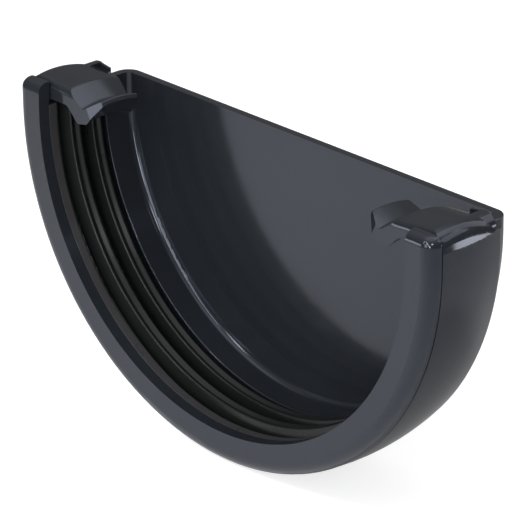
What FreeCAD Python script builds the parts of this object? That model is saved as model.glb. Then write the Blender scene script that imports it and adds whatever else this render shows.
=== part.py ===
import FreeCAD, Part
import math
import os
from FreeCAD import Vector

# End cap for a half-round gutter, in millimetres.
# Origin: centre of the half-round at the mouth. Y runs along the gutter into the cap, Z is up.

# Gutter that the cap is made for
gutter_radius = 56.0
socket_clearance = 1.0
seal_squeeze = 0.3

# Radii, counted from the half-round's centre
socket_radius = gutter_radius + socket_clearance
rim_radius = socket_radius + 7.4
crown_radius = rim_radius + 0.75
step_radius = rim_radius - 1.8
cup_wall = 2.2
cup_radius = socket_radius + cup_wall
seal_bed_radius = socket_radius + 3.6

# Depths along the gutter, counted from the mouth
rim_depth = 3.1
seam_width = 0.3
seam_depth = 0.35
housing_depth = 22.3
crown_depth = (rim_depth + housing_depth) / 2
cap_depth = housing_depth + 5.8
plate_thickness = 2.1
seal_front = 2.8
seal_back = housing_depth - 3.5

# Roundings
rim_round = 3.0
housing_round = 1.3
step_round = 0.8
back_round = 3.5
plate_fillet = 1.5
bed_round = 0.3
top_edge_round = 0.3

# Heights above the half-round's centre
plate_top = 3.0
rim_top = 6.7
rim_top_round = 2.3
clip_top = 7.6

# Snap clips, sizes at the right-hand one
clip_front = rim_depth + seam_width
clip_back = housing_depth - 2.3
clip_back_at_lip = clip_back - 4.8
clip_lean = 0.14
clip_arch_radius = 27.0
clip_arch_depth = clip_front + 0.34 * (clip_back - clip_front)
clip_slope = 0.065
clip_outer_round = 3.8
clip_draft = 0.2
clip_draft_start = 2.6
clip_nose_round = 2.0
ridge_x = 51.2
valley_x = 46.4
valley_z = 3.6
lip_x = 41.7
lip_z = 5.65
hook_x = 46.7
hook_z = 0.0
gate_x = 51.6
gate_z = 3.3
lip_cut_x = 46.1
lip_cut_z = 2.5
lip_cut_direction = Vector(-0.43, -0.875, 0.22)

# How far the cutting bodies reach past what they cut
overreach = 20.0

# Rib that stands across the clip's back end
rib_width = 0.6
rib_x = 56.0
rib_top = 6.3
rib_shoulder = 5.0
rib_shoulder_x = 60.0

# Sealing strip, whose ends stop short of the arch
seal_gap = 0.3
seal_top = gate_z - (seal_back - clip_arch_depth) ** 2 / (2 * clip_arch_radius) - seal_gap
lip_depths = (8.0, 10.5, 14.1, 16.5)
band_back = 5.0
lip_half_width = 1.1
groove_between_lips = 2.2
dip_between_lips = 0.9


def rounded_face(corners, place):
    """Closed face from corners (u, v, rounding), each placed in space by the function place."""
    path = []
    count = len(corners)
    for i in range(count):
        u, v, rounding = corners[i]
        here = Vector(u, v, 0)
        before = Vector(corners[i - 1][0], corners[i - 1][1], 0) - here
        after = Vector(corners[(i + 1) % count][0], corners[(i + 1) % count][1], 0) - here
        before.normalize()
        after.normalize()
        if rounding == 0:
            path.append((here, here, here))
            continue
        half = before.getAngle(after) / 2
        reach = rounding / math.tan(half)
        middle = before + after
        middle.normalize()
        bulge = here + middle * (rounding / math.sin(half) - rounding)
        path.append((here + before * reach, bulge, here + after * reach))
    edges = []
    for i in range(count):
        start, bulge, end = [place(p) for p in path[i]]
        if start.distanceToPoint(end) > 1e-6:
            edges.append(Part.Arc(start, bulge, end).toShape())
        following = place(path[(i + 1) % count][0])
        if end.distanceToPoint(following) > 1e-6:
            edges.append(Part.LineSegment(end, following).toShape())
    return Part.Face(Part.Wire(edges))


def on_section(p):
    """A section point (depth, radius) lies on the right-hand side of the level plane."""
    return Vector(p.y, p.x, 0)


def half_round(face, height):
    """Turn a section through the lower half circle and raise both its ends by height."""
    solid = face.revolve(Vector(0, 0, 0), Vector(0, 1, 0), 180)
    side = face.extrude(Vector(0, 0, height))
    return solid.fuse([side, mirrored(side)]).removeSplitter().Solids[0]


def mirrored(solid):
    return solid.mirror(Vector(0, 0, 0), Vector(1, 0, 0))


def block(low, high):
    size = high - low
    return Part.makeBox(size.x, size.y, size.z, low)


def crown_rounding(front):
    """Rounding of the housing's bulge, which starts at the depth front with the rim's radius."""
    ahead = crown_depth - front
    behind = housing_depth - crown_depth
    turn = math.atan((crown_radius - rim_radius) / ahead) + math.atan((crown_radius - step_radius) / behind)
    return 0.9 * min(ahead, behind) / math.tan(turn / 2)


def shell_section():
    """Rim, housing ring, step, cup and end plate as one section, with the seal's channel."""
    plate_front = cap_depth - plate_thickness
    seam_end = rim_depth + seam_width
    return [
        (0, socket_radius, 0),
        (0, rim_radius, rim_round),
        (rim_depth, rim_radius, 0),
        (rim_depth, rim_radius - seam_depth, 0),
        (seam_end, rim_radius - seam_depth, 0),
        (seam_end, rim_radius, 0),
        (crown_depth, crown_radius, crown_rounding(seam_end)),
        (housing_depth, step_radius, housing_round),
        (housing_depth, cup_radius, step_round),
        (cap_depth, cup_radius, back_round),
        (cap_depth, 0, 0),
        (plate_front, 0, 0),
        (plate_front, socket_radius, plate_fillet),
        (seal_back, socket_radius, bed_round),
        (seal_back, seal_bed_radius, 0),
        (seal_front, seal_bed_radius, 0),
        (seal_front, socket_radius, 0),
    ]


def make_rim_post():
    """The rim's upper end: the rim's own outline raised above the plate, rounded on top."""
    outline = [
        (0, socket_radius, 0),
        (0, rim_radius, rim_round),
        (rim_depth, rim_radius, 0),
        (rim_depth, rim_radius - seam_depth, 0),
        (rim_depth, socket_radius, 0),
    ]
    face = rounded_face(outline, on_section)
    below = plate_top - 2 * top_edge_round
    face.translate(Vector(0, 0, below))
    post = face.extrude(Vector(0, 0, rim_top - below))
    top_edges = []
    for edge in post.Edges:
        box = edge.BoundBox
        on_top = box.ZMin > rim_top - 1e-3
        at_back = box.YMin > rim_depth - 1e-3
        inside = box.XMax < socket_radius + 1e-3
        if on_top and not at_back and not inside:
            top_edges.append(edge)
    return post.makeFillet(rim_top_round, top_edges)


def clip_section():
    """Arched clip across the wall: top falling to a ridge, slope, valley, lip and hook."""
    far = crown_radius + overreach
    return [
        (far, clip_top + clip_slope * (far - rim_radius), 0),
        (ridge_x, clip_top - clip_slope * (rim_radius - ridge_x), 1.2),
        (valley_x, valley_z, 0.8),
        (lip_x + 0.5, lip_z, 0.3),
        (lip_x, lip_z - 1.0, 0.3),
        (hook_x - 1.6, hook_z + 0.6, 1.0),
        (hook_x + 1.4, hook_z, 1.0),
        (gate_x, gate_z, 1.0),
        (socket_radius, gate_z, 0),
        (socket_radius, plate_top - overreach, 0),
        (far, plate_top - overreach, 0),
    ]


def clip_plan():
    """Outline of the clip seen from above, its outer side along the housing's crown."""
    far = lip_x - overreach
    return [
        (clip_front - clip_lean * (gate_x - far), far, 0),
        (clip_front, gate_x, 0),
        (clip_front, rim_radius, 0),
        (crown_depth, crown_radius, crown_rounding(clip_front)),
        (housing_depth, step_radius, 0),
        (housing_depth, far, 0),
    ]


def leaning_side():
    """Body whose outer side follows the housing's bulge and leans inwards above the draft's start."""
    bulge = (crown_radius - rim_radius) / (crown_depth - clip_front)
    face = rounded_face([
        (0, 0, 0),
        (0, rim_radius - bulge * clip_front, 0),
        (crown_depth, crown_radius, crown_rounding(clip_front)),
        (housing_depth, step_radius, 0),
        (housing_depth, 0, 0),
    ], on_section)
    straight = face.extrude(Vector(0, 0, -overreach))
    body = straight.fuse(face.extrude(Vector(-clip_draft * overreach, 0, overreach)))
    body.translate(Vector(0, 0, clip_draft_start))
    return body


def clip_back_cut():
    """Outline of what is cut away behind the clip, slanting forwards towards the lip."""
    far = cap_depth + overreach
    return [
        (clip_back, crown_radius + overreach, 0),
        (clip_back, socket_radius, 0),
        (clip_back_at_lip, lip_x, 0),
        (clip_back_at_lip, 0, 0),
        (far, 0, 0),
        (far, crown_radius + overreach, 0),
    ]


def upright(corners):
    """Prism with upright sides over a flat outline, tall enough for the whole clip."""
    face = rounded_face(corners, on_section)
    face.translate(Vector(0, 0, -overreach))
    return face.extrude(Vector(0, 0, 2 * overreach))


def clip_nose():
    """Prism whose side outline rounds the clip's upper front edge and falls as its top does."""
    ahead = clip_arch_depth - clip_front
    drop = ahead * ahead / (2 * clip_arch_radius)
    edge_z = clip_top - drop - clip_slope * rim_radius
    far = cap_depth + overreach
    face = rounded_face([
        (clip_front, -overreach, 0),
        (clip_front, edge_z, clip_nose_round),
        (clip_arch_depth, edge_z + 2 * drop, 0),
        (far, edge_z + 2 * drop, 0),
        (far, -overreach, 0),
    ], lambda p: Vector(0, p.x, p.y))
    width = crown_radius + overreach
    return face.extrude(Vector(width, 0, clip_slope * width))


def make_clip():
    """Right-hand clip: the section swung about a cross axis, then cut to its outline."""
    hub = Vector(0, clip_arch_depth, clip_top - clip_arch_radius)
    face = rounded_face(clip_section(), lambda p: Vector(p.x, clip_arch_depth, p.y))
    swing = math.degrees(math.asin((housing_depth - clip_arch_depth + 1) / clip_arch_radius))
    face.rotate(hub, Vector(1, 0, 0), -swing)
    arm = face.revolve(hub, Vector(1, 0, 0), 2 * swing)
    arm = arm.common(upright(clip_plan()))
    arm = arm.cut(upright(clip_back_cut()))
    arm = arm.common(leaning_side())
    low = Vector(socket_radius, 0, plate_top - 2 * overreach)
    high = Vector(crown_radius + overreach, cap_depth, plate_top - 2 * top_edge_round)
    arm = arm.cut(block(low, high))
    cutter = Part.makeBox(overreach, overreach, overreach, Vector(-overreach / 2, -overreach / 2, 0))
    turn = FreeCAD.Rotation(Vector(0, 0, 1), lip_cut_direction)
    corner = Vector(lip_cut_x, clip_front - clip_lean * (gate_x - lip_cut_x), lip_cut_z)
    cutter.Placement = FreeCAD.Placement(corner, turn).multiply(cutter.Placement)
    arm = arm.cut(cutter).removeSplitter()
    for edge in arm.Edges:
        ends = edge.Vertexes
        if min(v.Z for v in ends) > plate_top + 1 and min(v.X for v in ends) > step_radius:
            arm = arm.makeFillet(clip_outer_round, [edge])
            break
    return arm.common(clip_nose())


def make_rib():
    """Low rib behind the arch, which grows into a shoulder along the outer side."""
    fall = (crown_radius - step_radius) / (housing_depth - crown_depth)
    outer = step_radius + fall * (housing_depth - clip_back) - 0.3
    below = plate_top - 2 * top_edge_round
    rib = Part.makePolygon([
        Vector(rib_x, clip_back, below),
        Vector(rib_x, clip_back, rib_top - 0.6),
        Vector(rib_shoulder_x, clip_back, rib_top),
        Vector(rib_shoulder_x, clip_back, below),
        Vector(rib_x, clip_back, below),
    ])
    outline = [
        (rib_shoulder_x - 1, below, 0),
        (rib_shoulder_x - 1, rib_top, 0),
        (outer, rib_top, clip_outer_round - 0.8),
        (outer, below, 0),
    ]
    face = rounded_face(outline, lambda p: Vector(p.x, clip_back, p.y))
    shoulder = face.extrude(Vector(0, -rib_shoulder, 0))
    return Part.Face(rib).extrude(Vector(0, -rib_width, 0)).fuse(shoulder)


def make_shell():
    """Rim, housing, cup and end plate; the top edge is rounded on round the outside."""
    shell = half_round(rounded_face(shell_section(), on_section), plate_top)
    for edge in shell.Edges:
        box = edge.BoundBox
        if box.YMin > cap_depth - 0.01 and box.ZMin > plate_top - 0.01:
            return shell.makeFillet(top_edge_round, [edge])


def make_body():
    """Shell, rim posts and clips in one moulding."""
    tops = [make_rim_post(), make_clip(), make_rib()]
    return make_shell().fuse(tops + [mirrored(top) for top in tops]).removeSplitter()


def seal_section():
    """Bed of the strip with a flat front band and lips that rise towards the gutter."""
    lip_radius = gutter_radius - seal_squeeze
    groove_radius = socket_radius + groove_between_lips
    corners = [
        (seal_front, seal_bed_radius, 0),
        (seal_front, socket_radius, 0.2),
        (band_back, socket_radius, 0.3),
        (band_back + 0.4, groove_radius, 0.3),
    ]
    for i, depth in enumerate(lip_depths):
        first_of_pair = i % 2 == 0
        if first_of_pair:
            corners.append((depth - lip_half_width, groove_radius, 0.3))
        corners.append((depth, lip_radius, 0.35))
        if first_of_pair:
            middle = (depth + lip_depths[i + 1]) / 2
            corners.append((middle, lip_radius + dip_between_lips, 0.5))
        else:
            corners.append((depth + lip_half_width, groove_radius, 0.3))
    corners.append((seal_back, groove_radius, 0))
    corners.append((seal_back, seal_bed_radius, 0))
    return corners


def make_seal():
    return half_round(rounded_face(seal_section(), on_section), seal_top)


os.makedirs("parts", exist_ok=True)
for name, solid in (("cap_body", make_body()), ("gutter_seal", make_seal())):
    solid.exportStep("parts/" + name + ".step")
    print(name, solid.isValid(), round(solid.Volume / 1000, 2), "cm3", solid.BoundBox)
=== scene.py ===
"""Looks for a half-round gutter end cap: dark moulded plastic with a black rubber sealing strip.

Lengths are in metres and angles in degrees, unless a comment says otherwise.
"""

import logging
import math
from dataclasses import dataclass
from enum import Enum

import bpy
from mathutils import Matrix, Quaternion, Vector


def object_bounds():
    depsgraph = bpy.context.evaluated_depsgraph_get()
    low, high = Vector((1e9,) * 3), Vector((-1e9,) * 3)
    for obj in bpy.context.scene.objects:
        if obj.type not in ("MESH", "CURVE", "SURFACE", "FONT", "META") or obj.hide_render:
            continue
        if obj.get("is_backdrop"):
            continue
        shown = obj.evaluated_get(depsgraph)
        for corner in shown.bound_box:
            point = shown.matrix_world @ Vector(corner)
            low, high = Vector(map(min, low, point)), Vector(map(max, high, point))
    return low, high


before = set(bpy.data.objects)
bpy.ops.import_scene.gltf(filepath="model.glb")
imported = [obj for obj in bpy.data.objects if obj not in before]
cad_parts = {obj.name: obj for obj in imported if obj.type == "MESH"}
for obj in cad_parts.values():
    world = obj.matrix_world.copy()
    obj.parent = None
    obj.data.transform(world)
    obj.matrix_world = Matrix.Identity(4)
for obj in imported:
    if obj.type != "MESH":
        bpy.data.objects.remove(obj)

log = logging.getLogger("gutter_end_cap")


class CapNode(Enum):
    """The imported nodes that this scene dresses."""

    BODY = "cap_body"
    SEAL = "gutter_seal"


class Output(Enum):
    """Where a node tree ends."""

    MATERIAL = "ShaderNodeOutputMaterial"
    WORLD = "ShaderNodeOutputWorld"


class Ray(Enum):
    """The kinds of ray that the floor and the sky tell apart."""

    CAMERA = "Is Camera Ray"
    GLOSSY = "Is Glossy Ray"
    CLEAR = "Is Transmission Ray"


@dataclass(frozen=True)
class Colour:
    """A plain colour as the shader takes it."""

    red: float
    green: float
    blue: float

    def rgba(self) -> tuple[float, float, float, float]:
        """The colour with full cover."""
        return (self.red, self.green, self.blue, 1.0)

    def shaded(self, share: float) -> "Colour":
        """The colour made lighter or darker by a share."""
        return Colour(self.red * share, self.green * share, self.blue * share)


WHITE = Colour(1.0, 1.0, 1.0)


@dataclass(frozen=True)
class Pattern:
    """A noise pattern: its cells in a metre, its finer layers and how strong these are."""

    scale: float
    detail: float
    roughness: float = 0.5


@dataclass(frozen=True)
class Grain:
    """A fine raised grain: its pattern, how strong it is and how deep."""

    pattern: Pattern
    strength: float
    depth: float


def direction(azimuth: float, elevation: float) -> Vector:
    """Point away from the cap.

    Args:
        azimuth: angle round the cap from its mouth towards +X.
        elevation: angle above the level plane.

    Returns:
        The direction, with length 1.
    """
    a, e = math.radians(azimuth), math.radians(elevation)
    return Vector((math.sin(a) * math.cos(e), -math.cos(a) * math.cos(e), math.sin(e)))


class NodeBench:
    """The node tree of a material or world, with short ways to add and join its nodes."""

    def __init__(self, owner: bpy.types.Material | bpy.types.World) -> None:
        """Start from an empty tree.

        Args:
            owner: the material or world that the tree belongs to.
        """
        owner.use_nodes = True
        self.tree = owner.node_tree
        self.tree.nodes.clear()

    def add(self, kind: str, **settings: object) -> bpy.types.Node:
        """Add a node.

        Args:
            kind: the node's type name.
            settings: its own properties.

        Returns:
            The new node.
        """
        node = self.tree.nodes.new(kind)
        for key, value in settings.items():
            setattr(node, key, value)
        return node

    def join(self, start: bpy.types.NodeSocket, end: bpy.types.NodeSocket) -> None:
        """Link an output to an input."""
        self.tree.links.new(start, end)

    def show(self, look: bpy.types.NodeSocket, output: Output = Output.MATERIAL) -> None:
        """End the tree with a finished shader."""
        self.join(look, self.add(output.value).inputs["Surface"])

    def surface(self, index: float) -> bpy.types.Node:
        """Add a surface shader and end the tree with it.

        Args:
            index: its refractive index, which says how strongly it shines.

        Returns:
            The shader node.
        """
        shader = self.add("ShaderNodeBsdfPrincipled")
        shader.inputs["IOR"].default_value = index
        self.show(shader.outputs["BSDF"])
        return shader

    def noise(self, pattern: Pattern) -> bpy.types.NodeSocket:
        """Add a noise pattern that reads the object's own coordinates.

        Args:
            pattern: its sizes.

        Returns:
            The pattern, from 0 to 1.
        """
        place = self.add("ShaderNodeTexCoord")
        cells = self.add("ShaderNodeTexNoise")
        cells.inputs["Scale"].default_value = pattern.scale
        cells.inputs["Detail"].default_value = pattern.detail
        cells.inputs["Roughness"].default_value = pattern.roughness
        self.join(place.outputs["Object"], cells.inputs["Vector"])
        return cells.outputs["Fac"]

    def ramp(self, source: bpy.types.NodeSocket, low: float, high: float) -> bpy.types.NodeSocket:
        """Stretch a 0 to 1 pattern to run from low to high.

        Args:
            source: the pattern.
            low: value where the pattern is 0.
            high: value where the pattern is 1.

        Returns:
            The stretched value.
        """
        stretch = self.add("ShaderNodeMapRange")
        stretch.inputs["To Min"].default_value = low
        stretch.inputs["To Max"].default_value = high
        self.join(source, stretch.inputs["Value"])
        return stretch.outputs["Result"]

    def rise(self, start: float, end: float) -> bpy.types.NodeSocket:
        """Rise from 0 to 1 between two depths in the cap.

        Args:
            start: depth from the mouth where the rise begins.
            end: depth where it is over.

        Returns:
            The rising value.
        """
        place = self.add("ShaderNodeTexCoord")
        split = self.add("ShaderNodeSeparateXYZ")
        climb = self.add("ShaderNodeMapRange")
        climb.inputs["From Min"].default_value = start
        climb.inputs["From Max"].default_value = end
        self.join(place.outputs["Object"], split.inputs["Vector"])
        self.join(split.outputs["Y"], climb.inputs["Value"])
        return climb.outputs["Result"]

    def mix(
        self,
        share: bpy.types.NodeSocket,
        first: Colour | bpy.types.NodeSocket,
        second: Colour | bpy.types.NodeSocket,
    ) -> bpy.types.NodeSocket:
        """Mix two colours.

        Args:
            share: how much of the second colour there is.
            first: colour where the share is 0.
            second: colour where the share is 1.

        Returns:
            The mixed colour.
        """
        node = self.add("ShaderNodeMix", data_type="RGBA")
        self.join(share, node.inputs["Factor"])
        for tint, socket in ((first, node.inputs["A"]), (second, node.inputs["B"])):
            if isinstance(tint, Colour):
                socket.default_value = tint.rgba()
            else:
                self.join(tint, socket)
        return node.outputs["Result"]

    def raised(self, grain: Grain) -> bpy.types.NodeSocket:
        """Add a fine raised grain.

        Args:
            grain: its sizes.

        Returns:
            The way that the surface faces with the grain on it.
        """
        bump = self.add("ShaderNodeBump")
        bump.inputs["Strength"].default_value = grain.strength
        bump.inputs["Distance"].default_value = grain.depth
        self.join(self.noise(grain.pattern), bump.inputs["Height"])
        return bump.outputs["Normal"]


@dataclass(frozen=True)
class MouldedPlastic:
    """Dark grey moulded plastic with a half gloss and a faint flow mottle."""

    name: str = "dark_plastic"
    colour: Colour = Colour(0.0157, 0.0180, 0.0220)
    shine: Colour = Colour(0.76, 0.82, 1.00)
    index: float = 1.52
    mottle: float = 0.10
    flow: Pattern = Pattern(55.0, 4.0, 0.55)
    cloud: Pattern = Pattern(121.0, 3.0)
    gloss_low: float = 0.09
    gloss_high: float = 0.14
    skin: Grain = Grain(Pattern(2600.0, 2.0), 0.25, 0.000004)

    def make(self) -> bpy.types.Material:
        """Build the finish.

        Returns:
            The finished material.
        """
        material = bpy.data.materials.new(self.name)
        bench = NodeBench(material)
        shader = bench.surface(self.index)
        shader.inputs["Specular Tint"].default_value = self.shine.rgba()
        dark, pale = self.colour.shaded(1 - self.mottle), self.colour.shaded(1 + self.mottle)
        bench.join(bench.mix(bench.noise(self.flow), dark, pale), shader.inputs["Base Color"])
        gloss = bench.ramp(bench.noise(self.cloud), self.gloss_low, self.gloss_high)
        bench.join(gloss, shader.inputs["Roughness"])
        bench.join(bench.raised(self.skin), shader.inputs["Normal"])
        return material


@dataclass(frozen=True)
class SealRubber:
    """Black rubber, matt with a soft shine on its lips and a paler front band near the mouth."""

    name: str = "seal_rubber"
    colour: Colour = Colour(0.0075, 0.0082, 0.0082)
    band: Colour = Colour(0.0345, 0.0338, 0.0355)
    band_end: float = 0.0054
    band_fade: float = 0.0003
    index: float = 1.36
    bloom: float = 0.35
    cloud: Pattern = Pattern(180.0, 4.0, 0.6)
    gloss_low: float = 0.24
    gloss_high: float = 0.34
    grain: Grain = Grain(Pattern(1500.0, 3.0), 0.3, 0.00001)

    def make(self) -> bpy.types.Material:
        """Build the finish.

        Returns:
            The finished material.
        """
        material = bpy.data.materials.new(self.name)
        bench = NodeBench(material)
        shader = bench.surface(self.index)
        cloud = bench.noise(self.cloud)
        # The front band, up to band_end deep from the mouth, gets a paler tone than the lips behind
        # it.
        band_tone, black = (
            bench.mix(cloud, tint, tint.shaded(1 + self.bloom)) for tint in (self.band, self.colour)
        )
        past_band = bench.rise(self.band_end - self.band_fade, self.band_end)
        bench.join(bench.mix(past_band, band_tone, black), shader.inputs["Base Color"])
        gloss = bench.ramp(cloud, self.gloss_low, self.gloss_high)
        bench.join(gloss, shader.inputs["Roughness"])
        bench.join(bench.raised(self.grain), shader.inputs["Normal"])
        return material


@dataclass
class DressedNode:
    """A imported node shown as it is, with its own finish."""

    node: CapNode
    finish: MouldedPlastic | SealRubber

    def dress(self) -> bpy.types.Object:
        """Give the node its finish.

        Returns:
            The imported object.
        """
        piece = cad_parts[self.node.value]
        piece.data.materials.clear()
        piece.data.materials.append(self.finish.make())
        return piece


@dataclass(frozen=True)
class Viewpoint:
    """The camera, from its angles round the cap, its distance and its lens.

    The focal length, the image's side and the origin's place in the image are in pixels, and the
    sensor's side is in millimetres.
    """

    name: str = "viewpoint"
    azimuth: float = 47.6223
    elevation: float = 23.2965
    roll: float = -0.70381
    distance: float = 0.92211
    focal: float = 4407.24
    image: float = 528.0
    origin_u: float = 214.3145
    origin_v: float = 184.7758
    sensor: float = 36.0
    near: float = 0.05
    far: float = 20.0

    def axes(self) -> tuple[Vector, Vector, Vector]:
        """Right, up and forward directions of the view."""
        forward = -direction(self.azimuth, self.elevation)
        a, r = math.radians(self.azimuth), math.radians(self.roll)
        level = Vector((math.cos(a), math.sin(a), 0))
        upright = level.cross(forward)
        right = math.cos(r) * level + math.sin(r) * upright
        up = -math.sin(r) * level + math.cos(r) * upright
        return right, up, forward

    def place(self) -> Vector:
        """Where the camera stands, so that the cap's origin falls on its image point."""
        right, up, forward = self.axes()
        step = self.distance / self.focal
        middle = self.image / 2
        across = (self.origin_u - middle) * step
        down = (self.origin_v - middle) * step
        return -(forward * self.distance + right * across - up * down)

    def make(self) -> bpy.types.Object:
        """Build the camera and make it the scene's own.

        Returns:
            The camera object.
        """
        right, up, forward = self.axes()
        turn = Matrix((right, up, -forward)).transposed().to_4x4()
        data = bpy.data.cameras.new(self.name)
        data.sensor_width = self.sensor
        data.lens = self.focal * self.sensor / self.image
        data.clip_start = self.near
        data.clip_end = self.far
        camera = bpy.data.objects.new(self.name, data)
        camera.matrix_world = Matrix.Translation(self.place()) @ turn
        bpy.context.scene.collection.objects.link(camera)
        bpy.context.scene.camera = camera
        return camera


@dataclass(frozen=True)
class Softbox:
    """A flat soft lamp that faces the cap from a direction.

    The glow is the brightness of its face, where 1 shows as white.
    """

    name: str
    azimuth: float
    elevation: float
    width: float
    height: float
    glow: float
    roll: float = 0.0
    distance: float = 1.6
    aim: tuple[float, float, float] = (0.0, 0.014, -0.03)
    spread: float = 180.0
    on_floor_only: bool = False

    def make(self) -> bpy.types.Object:
        """Build the lamp with the power that gives its face the wanted glow.

        Returns:
            The lamp object.
        """
        way = direction(self.azimuth, self.elevation)
        data = bpy.data.lights.new(self.name, "AREA")
        data.shape = "RECTANGLE"
        data.size = self.width
        data.size_y = self.height
        data.energy = self.glow * math.pi * self.width * self.height
        data.spread = math.radians(self.spread)
        lamp = bpy.data.objects.new(self.name, data)
        lamp.location = Vector(self.aim) + way * self.distance
        turn = way.to_track_quat("Z", "Y") @ Quaternion((0, 0, 1), math.radians(self.roll))
        lamp.rotation_euler = turn.to_euler()
        bpy.context.scene.collection.objects.link(lamp)
        return lamp


@dataclass
class Studio:
    """Pale floor, a sky that is brightest overhead, and soft lamps.

    The sky's levels are pairs of a height, from 0 at the horizon to 1 overhead, and a brightness.
    """

    floor_z: float
    floor_name: str = "studio_floor"
    floor_side: float = 0.7
    floor_colour: Colour = Colour(0.37, 0.37, 0.374)
    view_lift: float = 0.76
    glint_lift: float = 0.08
    sky_levels: tuple[tuple[float, float], ...] = (
        (0.00, 0.12),
        (0.12, 0.12),
        (0.40, 0.22),
        (0.60, 0.28),
        (0.80, 0.60),
        (1.00, 1.60),
    )
    new_point: tuple[float, float] = (0.5, 0.5)
    lamps: tuple[Softbox, ...] = (
        Softbox("back_right_lamp", 140.0, -5.0, width=0.80, height=0.30, glow=6.5, roll=-8.0),
        Softbox("back_fill_lamp", 134.0, 36.0, width=0.75, height=0.60, glow=1.3),
        Softbox("back_top_lamp", 166.0, 46.0, width=0.70, height=1.92, glow=0.92, roll=20.0),
        Softbox("front_left_lamp", -38.0, 0.0, width=0.34, height=0.40, glow=4.0),
        Softbox("front_lamp", 8.0, 12.0, width=0.64, height=0.90, glow=3.8),
        Softbox("front_strip_lamp", 22.0, 26.0, width=0.12, height=1.80, glow=14.0, roll=35.0),
        Softbox("front_right_lamp", 57.0, 30.0, width=0.30, height=0.30, glow=12.0),
        Softbox("front_low_lamp", 38.5, 3.0, width=0.17, height=0.48, glow=13.0),
        Softbox("front_high_lamp", -19.0, 35.0, width=0.16, height=0.60, glow=9.0),
        Softbox(
            "floor_lamp",
            -50.0,
            48.0,
            width=0.30,
            height=0.30,
            glow=2.8,
            distance=0.8,
            aim=(-0.045, -0.065, -0.065),
            spread=32.0,
            on_floor_only=True,
        ),
    )

    def lift(self, bench: NodeBench) -> bpy.types.NodeSocket:
        """Say how much the floor is lifted for each kind of ray, which is 0 for light itself.

        Args:
            bench: the node tree to add to.

        Returns:
            The strength of the lift.
        """
        path = bench.add("ShaderNodeLightPath")
        level = bench.add("ShaderNodeMath", operation="MULTIPLY")
        level.inputs[1].default_value = self.view_lift
        bench.join(path.outputs[Ray.CAMERA.value], level.inputs[0])
        for ray in (Ray.GLOSSY, Ray.CLEAR):
            share = bench.add("ShaderNodeMath", operation="MULTIPLY_ADD")
            share.inputs[1].default_value = self.glint_lift
            bench.join(path.outputs[ray.value], share.inputs[0])
            bench.join(level.outputs[0], share.inputs[2])
            level = share
        return level.outputs[0]

    def make_floor(self) -> bpy.types.Object:
        """Build the floor, which is white to the camera and keeps the cap's shadow.

        Returns:
            The floor.
        """
        bpy.ops.object.select_all(action="DESELECT")
        bpy.ops.mesh.primitive_plane_add(size=self.floor_side, location=(0, 0, self.floor_z))
        floor = bpy.context.object
        floor.name = self.floor_name
        material = bpy.data.materials.new(self.floor_name)
        bench = NodeBench(material)
        matt = bench.add("ShaderNodeBsdfDiffuse")
        matt.inputs["Color"].default_value = self.floor_colour.rgba()
        lift = bench.add("ShaderNodeEmission")
        bench.join(self.lift(bench), lift.inputs["Strength"])
        both = bench.add("ShaderNodeAddShader")
        bench.join(matt.outputs["BSDF"], both.inputs[0])
        bench.join(lift.outputs["Emission"], both.inputs[1])
        bench.show(both.outputs["Shader"])
        floor.data.materials.append(material)
        floor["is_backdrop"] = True
        return floor

    def sky_strength(self, bench: NodeBench) -> bpy.types.NodeSocket:
        """Grade the sky's brightness by height.

        Args:
            bench: the node tree to add to.

        Returns:
            The brightness in each direction.
        """
        top = max(level for _, level in self.sky_levels)
        place = bench.add("ShaderNodeTexCoord")
        split = bench.add("ShaderNodeSeparateXYZ")
        bench.join(place.outputs["Generated"], split.inputs["Vector"])
        curve = bench.add("ShaderNodeFloatCurve")
        points = curve.mapping.curves[0].points
        while len(points) < len(self.sky_levels):
            points.new(*self.new_point)
        for point, (height, level) in zip(points, self.sky_levels):
            point.location = (height, level / top)
            point.handle_type = "VECTOR"
        curve.mapping.update()
        bench.join(split.outputs["Z"], curve.inputs["Value"])
        scale = bench.add("ShaderNodeMath", operation="MULTIPLY")
        scale.inputs[1].default_value = top
        bench.join(curve.outputs["Value"], scale.inputs[0])
        return scale.outputs[0]

    def make_sky(self) -> bpy.types.World:
        """Light the scene from all round by height, while the camera itself sees plain white.

        Returns:
            The scene's world.
        """
        world = bpy.data.worlds.new("studio_sky")
        bpy.context.scene.world = world
        bench = NodeBench(world)
        sky, white = (bench.add("ShaderNodeBackground") for _ in range(2))
        for light in (sky, white):
            light.inputs["Color"].default_value = WHITE.rgba()
        bench.join(self.sky_strength(bench), sky.inputs["Strength"])
        path = bench.add("ShaderNodeLightPath")
        mix = bench.add("ShaderNodeMixShader")
        bench.join(path.outputs[Ray.CAMERA.value], mix.inputs[0])
        bench.join(sky.outputs[0], mix.inputs[1])
        bench.join(white.outputs[0], mix.inputs[2])
        bench.show(mix.outputs[0], Output.WORLD)
        return world

    def make(self) -> None:
        """Build the whole studio."""
        bpy.context.scene.view_settings.view_transform = "Standard"
        floor_alone = bpy.data.collections.new("floor_alone")
        floor_alone.objects.link(self.make_floor())
        self.make_sky()
        for softbox in self.lamps:
            lamp = softbox.make()
            if softbox.on_floor_only:
                lamp.light_linking.receiver_collection = floor_alone
                lamp.visible_glossy = False


def main() -> None:
    """Dress the cap, light it and set the view."""
    logging.basicConfig(level=logging.INFO)
    cad_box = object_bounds()
    parts = (
        DressedNode(CapNode.BODY, MouldedPlastic()),
        DressedNode(CapNode.SEAL, SealRubber()),
    )
    for part in parts:
        log.info("dressed %s", part.dress().name)
    Studio(floor_z=cad_box[0].z).make()
    Viewpoint().make()


if __name__ == "__main__":
    main()
